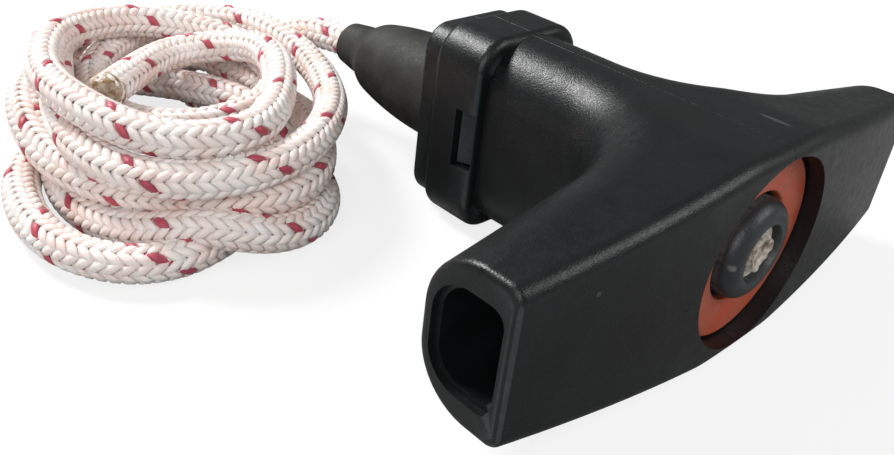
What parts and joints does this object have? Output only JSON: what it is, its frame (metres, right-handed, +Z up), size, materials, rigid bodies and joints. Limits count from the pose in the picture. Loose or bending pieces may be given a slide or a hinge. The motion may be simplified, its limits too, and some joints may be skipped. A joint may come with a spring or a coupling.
{
  "type": "recoil starter handle",
  "caption": "T-shaped pull handle for a recoil starter, with a sprung rope anchor, a rubber nose and a loose coil of braided rope.",
  "frame": {"origin": "under the middle of the handle's box without the free rope, on the surface it lies on", "axes": "+X along the grip bar, +Y down the stem towards the rope, +Z up, with the handle lying flat"},
  "size_m": [0.0993, 0.1194, 0.0284],
  "materials": {
    "grip_nylon": "fine satin grain",
    "anchor_nylon": "satin",
    "disc_plastic": "satin",
    "nose_rubber": "matte",
    "damper_rubber": "matte",
    "washer_steel": "zinc plated",
    "rope_braid": "braided polyamide"
  },
  "bodies": {
    "handle": {"grip_body": "grip_nylon", "neck_cap": "grip_nylon", "nose_boot": "nose_rubber", "damper_spring": "damper_rubber", "badge_disc": "disc_plastic"},
    "rope_side": {"rope_anchor": "anchor_nylon", "thrust_washer": "washer_steel", "rope_inner": "rope_braid", "rope_lead": "rope_braid", "rope_coil": "rope_braid"}
  },
  "joints": [
    {"name": "anchor_pull", "type": "slide", "parent": "handle", "child": "rope_side", "axis": [0, 1, 0], "range_m": [0, 0.005], "stiffness_N_per_m": 1500, "deforming": ["damper_spring"]}
  ]
}
